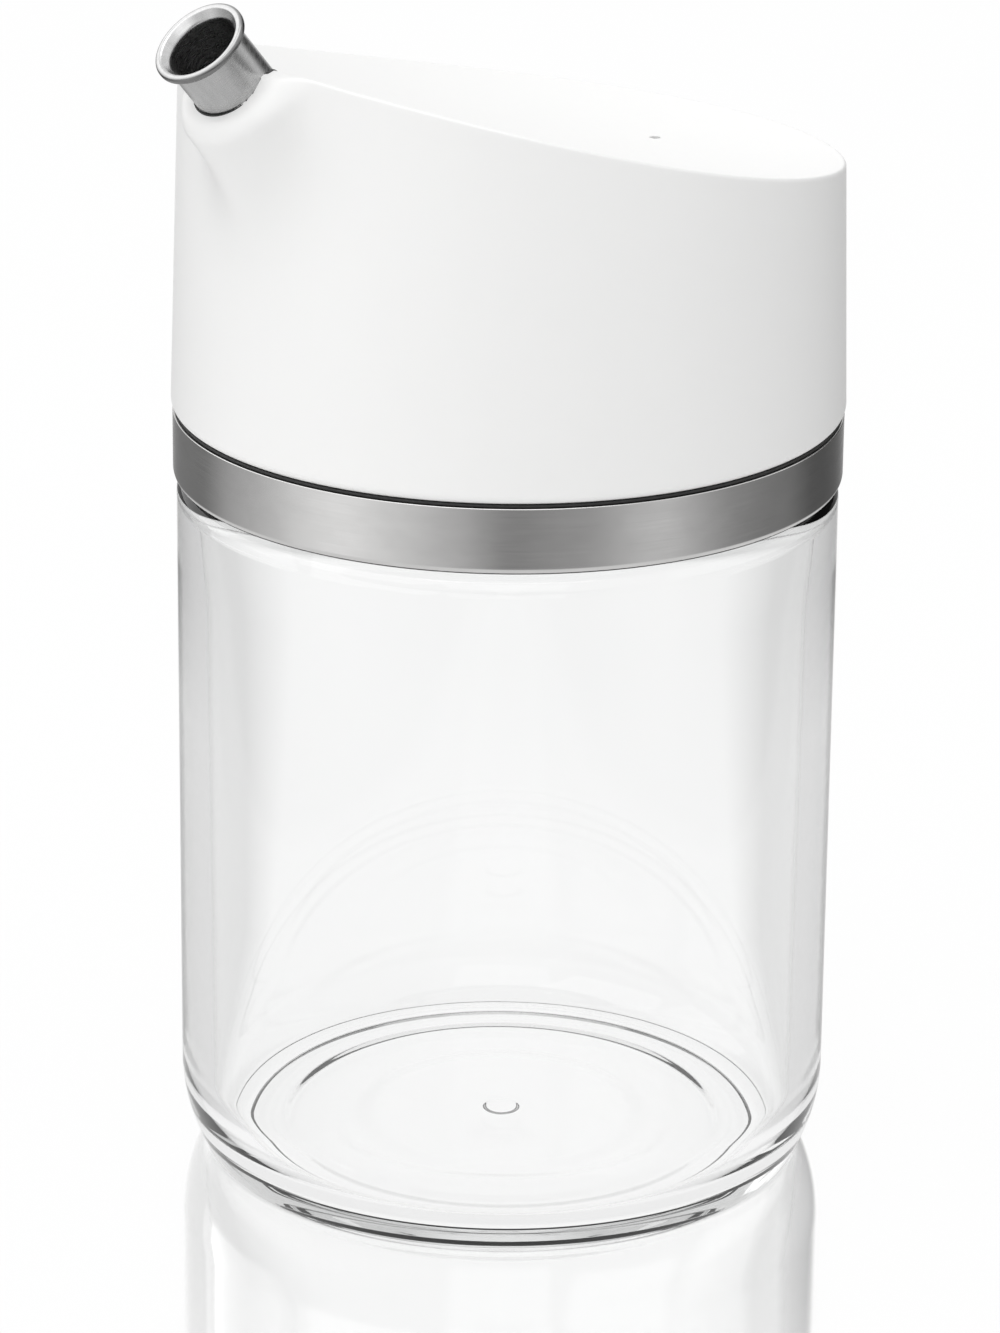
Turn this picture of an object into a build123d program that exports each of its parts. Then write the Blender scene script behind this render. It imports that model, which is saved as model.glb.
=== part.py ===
"""Table oil dispenser: a round glass jar with a tall white screw lid and a short steel spout.

Millimetres. +Z is up, the origin is the centre of the ring that the jar stands on, and the
spout leans out towards -X.
"""

import math
import os

from build123d import *

os.makedirs("parts", exist_ok=True)

# Driving dimensions: glass jar
jar_r = 39.4
shoulder_z = 85.4
shoulder_round = 2.2
neck_r = 35.4
mouth_r = 32.6
mouth_z = 96.4
mouth_round = 0.8
inside_top_r = 36.1
inside_low_r = 35.6
inside_shoulder_low_z = 77.0
inside_shoulder_high_z = 84.0
floor_mid_z = 3.6
floor_edge_r = 30.2
floor_edge_z = 3.0
floor_corner_z = 13.0

# Driving dimensions: the jar's underside
foot_arc_r = 22.5
foot_arc_z = 11.2
foot_round = 1.1
stand_inner_r = 31.9
recess_r = 31.4
recess_h = 0.85
dome_h = 1.5
bead_r = 0.5
outer_bead_at = 27.7
inner_bead_at = 18.0
pip_r = 2.0
pip_h = 0.3
pip_root = 0.5

# Driving dimensions: lid shell
lid_foot_z = 94.6
lid_foot_r = 40.0
lid_taper = 0.03
lid_foot_round = 1.5
lid_wall = 2.2
top_wall = 2.4
tool_top_z = 190.0
dish_mid_z = 125.7
dish_slope = 0.239
dish_curve = 0.0042
dish_cross_r = 192.0
dish_reach_low = -45.0
dish_level_from = 38.3
dish_level_blend = 4.0
dish_reach_high = 56.0
dish_tool_h = 80.0
dish_sweep = 50.0
vent_at = 23.1
vent_r = 0.65

# Driving dimensions: spout
spout_tilt = 40.5
spout_base_r = 42.0
spout_base_z = 139.5
spout_out = 7.2
spout_in = 14.0
tube_r = 4.6
tube_wall = 0.5
lip_r = 5.6
lip_t = 0.9
lip_round = 0.35
lip_flare = 0.5
stop_r = 5.3
stop_t = 0.6
boss_r = 7.5
boss_blend = 8.0
boss_edge = 2.3
boss_root = 20.0
boss_tool_h = 45.0
core_r = 7.0
seal_r = 5.1
seal_set_back = 0.15

# Driving dimensions: screw collar, band and seals
skirt_gap = 1.45
skirt_r = 39.0
skirt_foot_z = 86.7
skirt_bevel = 0.5
ledge_z = 93.8
socket_r = 37.8
socket_top_z = 101.5
spigot_top_z = 101.0
spigot_t = 1.55
disc_z = 98.0
disc_t = 1.8
disc_hole_r = 29.5
rim_lip_r = 32.2
rim_lip_t = 1.2
rim_lip_z = 93.0
band_r = 39.8
band_t = 0.8
band_foot_z = 85.8
curl_r = 1.2
curl_in_r = 38.0
gasket_inner_r = 32.3
gasket_outer_r = 36.0
seam_outer_r = 39.2

# Named fits
slip_fit = 0.05
seal_fit = 0.02
sleeve_fit = 0.02

# Worked out from the above
tilt = math.radians(spout_tilt)
spout_dir = (-math.sin(tilt), 0, math.cos(tilt))
spout_point = (-spout_base_r, 0, spout_base_z)
spout_axis = Axis(spout_point, spout_dir)
spout_base = Plane(origin=spout_point, x_dir=(0, 1, 0), z_dir=spout_dir)
spout_side = Plane(origin=spout_point, x_dir=(math.cos(tilt), 0, math.sin(tilt)), z_dir=(0, -1, 0))
bore_r = tube_r - tube_wall
lid_tool_r = lid_foot_r - lid_taper * (tool_top_z - lid_foot_z)
skirt_inner_r = neck_r + skirt_gap
spigot_r = socket_r - slip_fit


def dish_height(toward_spout):
    """Height of the dished top on its middle line, this far from the lid's axis."""
    return dish_mid_z + dish_slope * toward_spout + dish_curve * toward_spout**2


def dish_point(toward_spout):
    """The same point in the upright section, where the spout is on the -X side."""
    return (-toward_spout, dish_height(toward_spout))


# Glass jar: one turned section with a large round at the foot and a narrower neck
with BuildPart() as glass_jar:
    with BuildSketch(Plane.XZ) as jar_section:
        foot_centre_x = jar_r - foot_arc_r
        foot_edge_x = foot_centre_x + math.sqrt(foot_arc_r**2 - foot_arc_z**2)
        foot_turn = math.atan2(foot_arc_z, foot_edge_x - foot_centre_x) / 2
        foot_mid = (
            foot_centre_x + foot_arc_r * math.cos(foot_turn),
            foot_arc_z - foot_arc_r * math.sin(foot_turn),
        )
        with BuildLine():
            TangentArc((0, dome_h), (recess_r, recess_h), tangent=(1, 0))
            Polyline((recess_r, recess_h), (stand_inner_r, 0), (foot_edge_x, 0))
            ThreePointArc((foot_edge_x, 0), foot_mid, (jar_r, foot_arc_z))
            Polyline(
                (jar_r, foot_arc_z),
                (jar_r, shoulder_z),
                (neck_r, shoulder_z),
                (neck_r, mouth_z),
                (mouth_r, mouth_z),
                (mouth_r, inside_shoulder_high_z),
            )
            Spline(
                (mouth_r, inside_shoulder_high_z),
                (inside_top_r, inside_shoulder_low_z),
                tangents=[(0, -1), (0, -1)],
            )
            Line((inside_top_r, inside_shoulder_low_z), (inside_low_r, floor_corner_z))
            Spline(
                (inside_low_r, floor_corner_z),
                (floor_edge_r, floor_edge_z),
                tangents=[(0, -1), (-1, 0)],
            )
            Polyline((floor_edge_r, floor_edge_z), (0, floor_mid_z), (0, dome_h))
        make_face()
        corners = jar_section.vertices()
        fillet(corners.sort_by_distance((foot_edge_x, 0))[0], radius=foot_round)
        fillet(corners.sort_by_distance((jar_r, shoulder_z))[0], radius=shoulder_round)
        fillet(
            [
                corners.sort_by_distance((neck_r, shoulder_z))[0],
                corners.sort_by_distance((neck_r, mouth_z))[0],
                corners.sort_by_distance((mouth_r, mouth_z))[0],
            ],
            radius=mouth_round,
        )
        with Locations((outer_bead_at, dome_h - bead_r), (inner_bead_at, dome_h - bead_r / 2)):
            Circle(bead_r)
        with Locations((pip_r / 2, dome_h + (pip_root - pip_h) / 2)):
            Rectangle(pip_r, pip_root + pip_h)
    revolve(axis=Axis.Z)
glass_jar.part.label = "glass_jar"
export_step(glass_jar.part, "parts/glass_jar.step")

# Mouth gasket: flat ring that the collar presses onto the jar's rim
with BuildPart() as mouth_gasket:
    with BuildSketch(Plane.XY.offset(mouth_z + seal_fit)):
        Circle(gasket_outer_r)
        Circle(gasket_inner_r, mode=Mode.SUBTRACT)
    extrude(amount=disc_z - mouth_z - 2 * seal_fit)
mouth_gasket.part.label = "mouth_gasket"
export_step(mouth_gasket.part, "parts/mouth_gasket.step")

# Screw collar: the dark inner cap, with a skirt round the neck and a spigot up into the lid
with BuildPart() as screw_collar:
    with BuildSketch(Plane.XZ) as collar_section:
        with BuildLine():
            Polyline(
                (skirt_inner_r, skirt_foot_z),
                (skirt_r - slip_fit - skirt_bevel, skirt_foot_z),
                (skirt_r - slip_fit, skirt_foot_z + skirt_bevel),
                (skirt_r - slip_fit, ledge_z),
                (spigot_r, ledge_z),
                (spigot_r, spigot_top_z),
                (spigot_r - spigot_t, spigot_top_z),
                (spigot_r - spigot_t, disc_z + disc_t),
                (disc_hole_r, disc_z + disc_t),
                (disc_hole_r, disc_z),
                (rim_lip_r - rim_lip_t, disc_z),
                (rim_lip_r - rim_lip_t, rim_lip_z),
                (rim_lip_r, rim_lip_z),
                (rim_lip_r, disc_z),
                (skirt_inner_r, disc_z),
                close=True,
            )
        make_face()
    revolve(axis=Axis.Z)
screw_collar.part.label = "screw_collar"
export_step(screw_collar.part, "parts/screw_collar.step")

# Steel band: a thin hoop round the skirt, its lower edge curled in under it
with BuildPart() as steel_band:
    with BuildSketch(Plane.XZ) as band_section:
        curl_x = band_r - curl_r
        curl_z = band_foot_z + curl_r
        with BuildLine():
            Polyline(
                (band_r - band_t, curl_z),
                (band_r - band_t, ledge_z),
                (band_r, ledge_z),
                (band_r, curl_z),
            )
            RadiusArc((band_r, curl_z), (curl_x, band_foot_z), curl_r)
            Polyline(
                (curl_x, band_foot_z),
                (curl_in_r, band_foot_z),
                (curl_in_r, band_foot_z + band_t),
                (curl_x, band_foot_z + band_t),
            )
            RadiusArc((curl_x, band_foot_z + band_t), (band_r - band_t, curl_z), band_t - curl_r)
        make_face()
    revolve(axis=Axis.Z)
steel_band.part.label = "steel_band"
export_step(steel_band.part, "parts/steel_band.step")

# Seam gasket: the black line between the band and the lid
with BuildPart() as seam_gasket:
    with BuildSketch(Plane.XY.offset(ledge_z + seal_fit)):
        Circle(seam_outer_r)
        Circle(socket_r, mode=Mode.SUBTRACT)
    extrude(amount=lid_foot_z - ledge_z - 2 * seal_fit)
seam_gasket.part.label = "seam_gasket"
export_step(seam_gasket.part, "parts/seam_gasket.step")

# Tool: everything above the lid's dished top, a shallow bowl that climbs towards the spout and
# runs level past the spout's boss
rise = math.hypot(1, dish_slope)
dish_centre = (dish_cross_r * dish_slope / rise, 0, dish_mid_z + dish_cross_r / rise)
dish_axis = Axis(dish_centre, (-1, 0, dish_slope))
with BuildPart() as above_dish:
    with BuildSketch(Plane.XZ) as dish_section:
        with BuildLine():
            dish_low = dish_point(dish_reach_low)
            dish_level = dish_point(dish_level_from)
            ThreePointArc(dish_low, dish_point((dish_reach_low + dish_level_from) / 2), dish_level)
            Polyline(
                dish_level,
                (-dish_reach_high, dish_level[1]),
                (-dish_reach_high, dish_level[1] + dish_tool_h),
                (dish_low[0], dish_level[1] + dish_tool_h),
                dish_low,
            )
        make_face()
        fillet(
            dish_section.vertices().sort_by_distance(dish_level)[0],
            radius=dish_level_blend,
        )
    revolve(axis=dish_axis, revolution_arc=dish_sweep)
above_dish_tool = above_dish.part.rotate(dish_axis, -dish_sweep / 2)

# Tool: the hollow of the lid, with the spout's core left standing in it
with BuildPart() as lid_hollow:
    with BuildSketch(Plane.XZ):
        socket_taper_r = lid_foot_r - lid_taper * (socket_top_z - lid_foot_z) - lid_wall
        with BuildLine():
            Polyline(
                (0, lid_foot_z),
                (socket_r, lid_foot_z),
                (socket_r, socket_top_z),
                (socket_taper_r, socket_top_z),
                (lid_tool_r - lid_wall, tool_top_z),
                (0, tool_top_z),
                close=True,
            )
        make_face()
    revolve(axis=Axis.Z)
    add(above_dish_tool.moved(Location((0, 0, -top_wall))), mode=Mode.SUBTRACT)
    with BuildSketch(spout_base.offset(-spout_in)):
        Circle(core_r)
    extrude(amount=spout_in, mode=Mode.SUBTRACT)

# Lid shell: tapered white wall, blended spout boss, dished top, hollow inside
with BuildPart() as lid_shell:
    with BuildSketch(Plane.XZ) as wall_section:
        with BuildLine():
            Polyline(
                (0, lid_foot_z),
                (lid_foot_r, lid_foot_z),
                (lid_tool_r, tool_top_z),
                (0, tool_top_z),
                close=True,
            )
        make_face()
        fillet(
            wall_section.vertices().sort_by_distance((lid_foot_r, lid_foot_z))[0],
            radius=lid_foot_round,
        )
    revolve(axis=Axis.Z)
    with BuildSketch(spout_base.offset(-boss_root)):
        Circle(boss_r)
    extrude(amount=boss_root + boss_tool_h)
    fillet(lid_shell.edges().filter_by(GeomType.BSPLINE), radius=boss_blend)
    add(above_dish_tool, mode=Mode.SUBTRACT)
    split(bisect_by=spout_base, keep=Keep.BOTTOM)
    boss_face = lid_shell.faces().filter_by(GeomType.PLANE).sort_by_distance(spout_point)[0]
    fillet(boss_face.edges().filter_by(GeomType.CIRCLE), radius=boss_edge)
    add(lid_hollow.part, mode=Mode.SUBTRACT)
    with BuildSketch(spout_base.offset(-spout_in)):
        Circle(seal_r + sleeve_fit)
    extrude(amount=spout_in + spout_out, mode=Mode.SUBTRACT)
    with Locations((vent_at, 0, dish_height(-vent_at) + top_wall)):
        Hole(vent_r, depth=3 * top_wall)
lid_shell.part.label = "lid_shell"
export_step(lid_shell.part, "parts/lid_shell.step")

# Spout tube: thin steel tube with a flared, rolled pouring lip and a stop inside the lid
with BuildPart() as spout_tube:
    with BuildSketch(spout_side) as tube_section:
        with BuildLine():
            Polyline(
                (bore_r, spout_out - lip_r + bore_r),
                (bore_r, -spout_in - stop_t),
                (stop_r, -spout_in - stop_t),
                (stop_r, -spout_in),
                (tube_r, -spout_in),
                (tube_r, spout_out - lip_t),
                (lip_r, spout_out - lip_t),
                (lip_r, spout_out),
                (bore_r + lip_flare, spout_out),
            )
            RadiusArc((bore_r + lip_flare, spout_out), (bore_r, spout_out - lip_r + bore_r), lip_r)
        make_face()
        tube_corners = tube_section.vertices()
        fillet(
            [
                tube_corners.sort_by_distance((lip_r, spout_out - lip_t))[0],
                tube_corners.sort_by_distance((lip_r, spout_out))[0],
            ],
            radius=lip_round,
        )
    revolve(axis=spout_axis)
spout_tube.part.label = "spout_tube"
export_step(spout_tube.part, "parts/spout_tube.step")

# Spout seal: dark sleeve between the tube and the boss, trimmed to the dished top
with BuildPart() as spout_seal:
    with BuildSketch(spout_base.offset(-spout_in)):
        Circle(seal_r)
        Circle(tube_r + sleeve_fit, mode=Mode.SUBTRACT)
    extrude(amount=spout_in - seal_set_back)
    add(above_dish_tool, mode=Mode.SUBTRACT)
spout_seal.part.label = "spout_seal"
export_step(spout_seal.part, "parts/spout_seal.step")
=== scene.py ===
"""Studio picture of a table oil dispenser: a glass jar, a banded white screw lid and a steel spout.

Lengths are in millimetres until a mesh is written, which is in metres. +Z is up and the spout
leans towards -X. A place on the lid is given by u, its distance from the axis towards the spout,
and v, its distance to the side. A direction round the jar is an azimuth in degrees, where 0 is the
-Y side and the angle grows towards +X.
"""

from __future__ import annotations

import logging
import math
from collections.abc import Callable
from dataclasses import dataclass, field
from enum import Enum

import bmesh
import bpy
import mathutils
import numpy as np
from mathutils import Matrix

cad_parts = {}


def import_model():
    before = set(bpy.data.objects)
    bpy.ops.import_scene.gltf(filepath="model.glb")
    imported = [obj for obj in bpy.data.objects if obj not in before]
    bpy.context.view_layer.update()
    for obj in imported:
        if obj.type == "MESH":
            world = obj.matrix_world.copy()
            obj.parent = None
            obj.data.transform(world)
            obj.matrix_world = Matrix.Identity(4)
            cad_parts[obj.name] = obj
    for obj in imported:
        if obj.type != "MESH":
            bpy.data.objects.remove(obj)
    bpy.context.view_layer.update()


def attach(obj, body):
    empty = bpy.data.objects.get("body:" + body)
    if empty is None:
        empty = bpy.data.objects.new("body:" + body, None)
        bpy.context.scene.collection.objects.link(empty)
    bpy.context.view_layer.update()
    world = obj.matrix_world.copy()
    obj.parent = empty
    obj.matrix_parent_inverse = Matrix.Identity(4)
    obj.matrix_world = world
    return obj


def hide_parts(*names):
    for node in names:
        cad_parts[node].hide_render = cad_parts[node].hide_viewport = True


LOG = logging.getLogger("oil_dispenser")
MM = 0.001
TURN = 2.0 * math.pi
Pair = tuple[float, float]
Vec3 = tuple[float, float, float]
Corner = Vec3
Rgb = Vec3
Socket = bpy.types.NodeSocket
Tree = bpy.types.NodeTree
Feed = float | tuple[float, ...] | Socket

WHITE = (1.0, 1.0, 1.0, 1.0)
CAMERA_AZIMUTH = -42.0
MASK_SPAN = (0.3, 0.7)
TONE_DEGREES = (0, 13, 26, 39, 52, 65, 78, 92, 105, 118, 132, 145, 156, 166, 180)
TONES_LEFT = (0.21, 0.55, 0.7, 0.87, 1.11, 1, 0.72, 0.53, 0.43, 0.15, 0.2, 0.2, 0.3, 1, 1)
TONES_RIGHT = (0.21, 0.35, 0.36, 0.61, 0.76, 0.46, 0.28, 0.22, 0.21, 0.07, 0.08, 0.12, 0.3, 1, 1)


class Closing(Enum):
    """How the rows or the columns of a surface grid end."""

    OPEN = "open"
    RING = "ring"


# Outlines and surfaces


def spaced(knots: tuple[float, ...], pieces: tuple[int, ...]) -> np.ndarray:
    """Values from the first knot to the last, in equal steps between each knot and the next.

    Args:
        knots: Where the size of the step changes.
        pieces: The number of steps in each span.

    Returns:
        The values, both ends among them.
    """
    spans = zip(knots, knots[1:], pieces)
    runs = [np.linspace(low, high, count + 1)[1:] for low, high, count in spans]
    return np.concatenate([[knots[0]], *runs])


def circle(segments: int) -> np.ndarray:
    """Angles of a full turn, the last a step short of the first."""
    return np.linspace(0.0, TURN, segments, endpoint=False)


def polar(r: np.ndarray, angle: np.ndarray) -> tuple[np.ndarray, np.ndarray]:
    """The two level parts of a place, r cos a and r sin a."""
    return r * np.cos(angle), r * np.sin(angle)


def upright(r: float, low: float, high: float, count: int) -> np.ndarray:
    """A straight line of (r, z) from one height to the other."""
    return np.stack([np.full(count, r), np.linspace(low, high, count)], axis=1)


def bend(start: np.ndarray, corner: np.ndarray, end: np.ndarray, count: int) -> np.ndarray:
    """A soft turn, (1 - t)^2 of the start, 2 t (1 - t) of the corner and t^2 of the end.

    Args:
        start: Where it begins, a point or a ring of points.
        corner: Where both of its ends head.
        end: Where it ends.
        count: How many values t takes, from 0 to 1.

    Returns:
        One row for each t.
    """
    t = np.linspace(0.0, 1.0, count).reshape(-1, *[1] * start.ndim)
    return (1 - t) ** 2 * start + 2 * t * (1 - t) * corner + t * t * end


def oval_arc(centre: Pair, radii: Pair, angle: np.ndarray, power: float = 1.0) -> np.ndarray:
    """Part of a superellipse: centre + (radius cos^power a, radius sin^power a).

    Args:
        centre: Its middle, as (r, z).
        radii: Its reach along r and along z.
        angle: The angles of its points.
        power: 1 for an ellipse, less for fuller corners.

    Returns:
        Points as an array of (r, z).
    """
    across = centre[0] + radii[0] * np.cos(angle) ** power
    up = centre[1] + radii[1] * np.sin(angle) ** power
    return np.stack([across, up], axis=1)


def rounded_outline(
    corners: list[Corner], closed: bool = True, steps: int = 6, guard: float = 0.06
) -> np.ndarray:
    """Turns a polygon with a radius at each corner into a fine outline.

    Each rounded corner becomes an arc that touches both sides, and each side gets a point a little
    way in from its ends, so that smooth shading stays flat along the side. A round takes at most
    0.48 of a side.

    Args:
        corners: Points as (r, z, radius of the round there), in order.
        closed: Whether the last point joins the first.
        steps: Pieces in each arc.
        guard: How far in from a side's end its extra point lies.

    Returns:
        Points as an array of (r, z).
    """
    most, sharp = 0.48, 1e-4
    places = np.array([(r, z) for r, z, _ in corners], dtype=float)
    count = len(places)
    out: list[np.ndarray] = []
    for i, (_, _, wanted) in enumerate(corners):
        here = places[i]
        if not closed and i in (0, count - 1):
            out.append(here[None, :])
            continue
        back = places[i - 1] - here
        ahead = places[(i + 1) % count] - here
        back_len = float(np.linalg.norm(back))
        ahead_len = float(np.linalg.norm(ahead))
        back /= back_len
        ahead /= ahead_len
        half = math.acos(float(np.clip(np.dot(back, ahead), -1.0, 1.0))) / 2.0
        reach = min(wanted / max(math.tan(half), 1e-6), most * back_len, most * ahead_len)
        radius = reach * math.tan(half)
        edge_back = min(guard, (back_len * 0.5 - reach) * 0.5)
        edge_ahead = min(guard, (ahead_len * 0.5 - reach) * 0.5)
        if radius < sharp:
            out.append(np.stack([here + back * edge_back, here, here + ahead * edge_ahead]))
            continue
        bisector = (back + ahead) / np.linalg.norm(back + ahead)
        centre = here + bisector * (radius / math.sin(half))
        start = here + back * reach - centre
        end = here + ahead * reach - centre
        sweep = math.atan2(start[0] * end[1] - start[1] * end[0], float(np.dot(start, end)))
        angle = np.linspace(0.0, sweep, steps + 1)
        across = start[0] * np.cos(angle) - start[1] * np.sin(angle)
        up = start[0] * np.sin(angle) + start[1] * np.cos(angle)
        arc = centre + np.stack([across, up], axis=1)
        out.append(np.vstack([arc[0] + back * edge_back, arc, arc[-1] + ahead * edge_ahead]))
    return np.vstack(out)


def ring_outline(radii: Pair, heights: Pair, rounds: tuple[float, ...]) -> np.ndarray:
    """Outline of a flat ring, a rectangle with rounded corners.

    Args:
        radii: Inner and outer radius.
        heights: Low and high side.
        rounds: The round of each corner: inner low, outer low, outer high, inner high.

    Returns:
        Points as an array of (r, z).
    """
    (inner, outer), (low, high) = radii, heights
    places = ((inner, low), (outer, low), (outer, high), (inner, high))
    return rounded_outline([(r, z, size) for (r, z), size in zip(places, rounds)])


def grid_faces(
    rows: int, columns: int, row_closing: Closing, column_closing: Closing
) -> np.ndarray:
    """Quads of a grid of points stored row by row: (i, j), (i, j+1), (i+1, j+1), (i+1, j).

    Args:
        rows: Number of rows.
        columns: Number of points in a row.
        row_closing: RING where the last row joins the first.
        column_closing: RING where each row joins its own start.

    Returns:
        Point numbers, four to a face.
    """
    row_count = rows if row_closing is Closing.RING else rows - 1
    column_count = columns if column_closing is Closing.RING else columns - 1
    i, j = np.meshgrid(np.arange(row_count), np.arange(column_count), indexing="ij")
    here, above = i * columns, (i + 1) % rows * columns
    j_next = (j + 1) % columns
    quads = np.stack([here + j, here + j_next, above + j_next, above + j], axis=-1)
    return quads.reshape(-1, 4)


@dataclass
class Surface:
    """Points in millimetres and the quads between them."""

    points: np.ndarray
    faces: np.ndarray

    def joined(self, other: Surface) -> Surface:
        """Both surfaces as one, side by side."""
        faces = np.vstack([self.faces, other.faces + len(self.points)])
        return Surface(np.vstack([self.points, other.points]), faces)

    def turned_over(self) -> Surface:
        """The same surface facing the other way."""
        return Surface(self.points, self.faces[:, ::-1])

    def without(self, inside: np.ndarray) -> Surface:
        """The surface with each face left out whose middle is marked."""
        return Surface(self.points, self.faces[~inside])

    def middles(self) -> np.ndarray:
        """The middle of each face."""
        return self.points[self.faces].mean(axis=1)


def lathe(outline: np.ndarray, segments: int = 256, closing: Closing = Closing.RING) -> Surface:
    """Turns an outline round the Z axis: (r cos a, r sin a, z) for a from 0 to a full turn.

    Args:
        outline: Points as (r, z), anticlockwise in the (r, z) plane for outward faces.
        segments: Points in each circle.
        closing: RING where the outline is a closed loop.

    Returns:
        The turned surface.
    """
    x, y = polar(outline[:, 0][:, None], circle(segments))
    z = np.broadcast_to(outline[:, 1][:, None], x.shape)
    faces = grid_faces(len(outline), segments, closing, Closing.RING)
    return Surface(np.stack([x, y, z], axis=-1).reshape(-1, 3), faces)


@dataclass(frozen=True)
class Thread:
    """A screw ridge on a turned piece; its middle climbs by the pitch for each turn.

    A height below 0 stands in towards the axis.
    """

    height: float
    width: float
    start: float
    pitch: float
    turns: float
    fade_rate: float = 12.0

    def share(self, angle: np.ndarray, z: np.ndarray) -> np.ndarray:
        """The part of the ridge's full height, from 0 to 1, at each angle and height.

        Across, it is the fourth-power bell exp(-(2d/width)^4) of the distance d from the ridge's
        middle, and it fades in and out over 1 / fade rate of a turn at its ends.

        Args:
            angle: Angles in radians, from 0 to a full turn.
            z: Heights.

        Returns:
            The part at each place.
        """
        total = np.zeros(np.broadcast(angle, z).shape)
        for lap in range(math.ceil(self.turns)):
            along = angle / TURN + lap
            begun = np.clip(along * self.fade_rate, 0.0, 1.0)
            ease = begun * np.clip((self.turns - along) * self.fade_rate, 0.0, 1.0)
            ease = ease * ease * (3.0 - 2.0 * ease)
            away = z - (self.start + self.pitch * along)
            total = np.maximum(total, ease * np.exp(-((2.0 * away / self.width) ** 4)))
        return total

    def turned(
        self, outline: np.ndarray, marked: np.ndarray, root_r: float, closing: Closing
    ) -> Surface:
        """Turns an outline and raises the ridge on its marked points.

        Args:
            outline: Points as (r, z).
            marked: Whether each point carries the ridge.
            root_r: The radius of the marked points.
            closing: RING where the outline is a closed loop.

        Returns:
            The surface with its ridge.
        """
        plain = lathe(outline, closing=closing)
        points = plain.points.reshape(len(outline), -1, 3)
        ridge = self.share(circle(points.shape[1])[None, :], outline[:, 1][:, None])
        grown = 1.0 + marked[:, None] * self.height * ridge / root_r
        points[..., :2] *= grown[..., None]
        return Surface(points.reshape(-1, 3), plain.faces)


# Shader nodes and node groups


def compass(azimuth: float, elevation: float = 0.0) -> Vec3:
    """The direction from the jar at an azimuth and a height in degrees, 1 long."""
    a, e = math.radians(azimuth), math.radians(elevation)
    return math.sin(a) * math.cos(e), -math.cos(a) * math.cos(e), math.sin(e)


def fill(tree: Tree, node: bpy.types.Node, inputs: dict[str | int, Feed]) -> bpy.types.Node:
    """Fills a node's inputs: links a socket, sets anything else.

    Args:
        tree: The tree that the node is in.
        node: The node.
        inputs: What each input gets, by the input's name or number.

    Returns:
        The node.
    """
    for key, value in inputs.items():
        if isinstance(value, Socket):
            tree.links.new(value, node.inputs[key])
        else:
            node.inputs[key].default_value = value
    return node


def add_node(
    tree: Tree, kind: str, inputs: dict[str | int, Feed], operation: str = ""
) -> bpy.types.Node:
    """Adds a shader node and fills its inputs.

    Args:
        tree: The tree to build in.
        kind: The node's type, without the word ShaderNode.
        inputs: What each input gets, as for fill.
        operation: What a Math or Vector Math node does.

    Returns:
        The node.
    """
    node = tree.nodes.new("ShaderNode" + kind)
    if operation:
        node.operation = operation
    return fill(tree, node, inputs)


def add_group(tree: Tree, group: Tree, inputs: dict[str | int, Feed]) -> bpy.types.Node:
    """Places a node group and fills its inputs.

    Args:
        tree: The tree to build in.
        group: The group to place.
        inputs: What each input gets, as for fill.

    Returns:
        The group's node.
    """
    node = tree.nodes.new("ShaderNodeGroup")
    node.node_tree = group
    return fill(tree, node, inputs)


def maths(tree: Tree, operation: str, *values: float | Socket) -> Socket:
    """A Math node's result."""
    return add_node(tree, "Math", dict(enumerate(values)), operation).outputs["Value"]


def measure(tree: Tree, operation: str, *vectors: Vec3 | Socket) -> Socket:
    """The number that a Vector Math node makes of one or two vectors."""
    return add_node(tree, "VectorMath", dict(enumerate(vectors)), operation).outputs["Value"]


def fade(tree: Tree, value: Socket, span: Pair, ends: Pair = (0.0, 1.0)) -> Socket:
    """A value that goes from one end to the other as the input crosses the span.

    Args:
        tree: The tree to build in.
        value: The input.
        span: Where the change begins and ends.
        ends: The value before the span and past it.

    Returns:
        The value.
    """
    inputs = {"Value": value, "From Min": span[0], "From Max": span[1]}
    inputs |= {"To Min": ends[0], "To Max": ends[1]}
    return add_node(tree, "MapRange", inputs).outputs["Result"]


def pick(tree: Tree, chooser: Socket, no: float | Socket, yes: float | Socket) -> Socket:
    """One of two values by a mask that is 0 or 1: no + (yes - no) mask."""
    step = maths(tree, "MULTIPLY", maths(tree, "SUBTRACT", yes, no), chooser)
    return maths(tree, "ADD", no, step)


def blend(tree: Tree, mask: Socket, low: Rgb, high: Rgb) -> Socket:
    """A colour that goes from low to high as the mask goes from 0 to 1.

    Args:
        tree: The tree to build in.
        mask: The mask.
        low: The colour at 0.
        high: The colour at 1.

    Returns:
        The colour.
    """
    mix = add_node(tree, "Mix", {"Factor": mask})
    mix.data_type = "RGBA"
    colours = [socket for socket in mix.inputs if socket.type == "RGBA"]
    colours[0].default_value = (*low, 1.0)
    colours[1].default_value = (*high, 1.0)
    return next(socket for socket in mix.outputs if socket.type == "RGBA")


def new_group(
    name: str, numbers: dict[str, float], outputs: tuple[str, ...]
) -> tuple[Tree, dict[str, Socket], bpy.types.Node]:
    """Makes an empty node group with a Vector input.

    Args:
        name: The group's name.
        numbers: The default of each further input.
        outputs: The name of each output, all of them numbers.

    Returns:
        The group, its inputs by name and its output node.
    """
    group = bpy.data.node_groups.new(name, "ShaderNodeTree")
    sockets = group.interface
    sockets.new_socket(name="Vector", in_out="INPUT", socket_type="NodeSocketVector")
    for label, value in numbers.items():
        socket = sockets.new_socket(name=label, in_out="INPUT", socket_type="NodeSocketFloat")
        socket.default_value = value
    for label in outputs:
        sockets.new_socket(name=label, in_out="OUTPUT", socket_type="NodeSocketFloat")
    inside = group.nodes.new("NodeGroupInput").outputs
    given = {key: inside[key] for key in ("Vector", *numbers)}
    return group, given, group.nodes.new("NodeGroupOutput")


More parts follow.
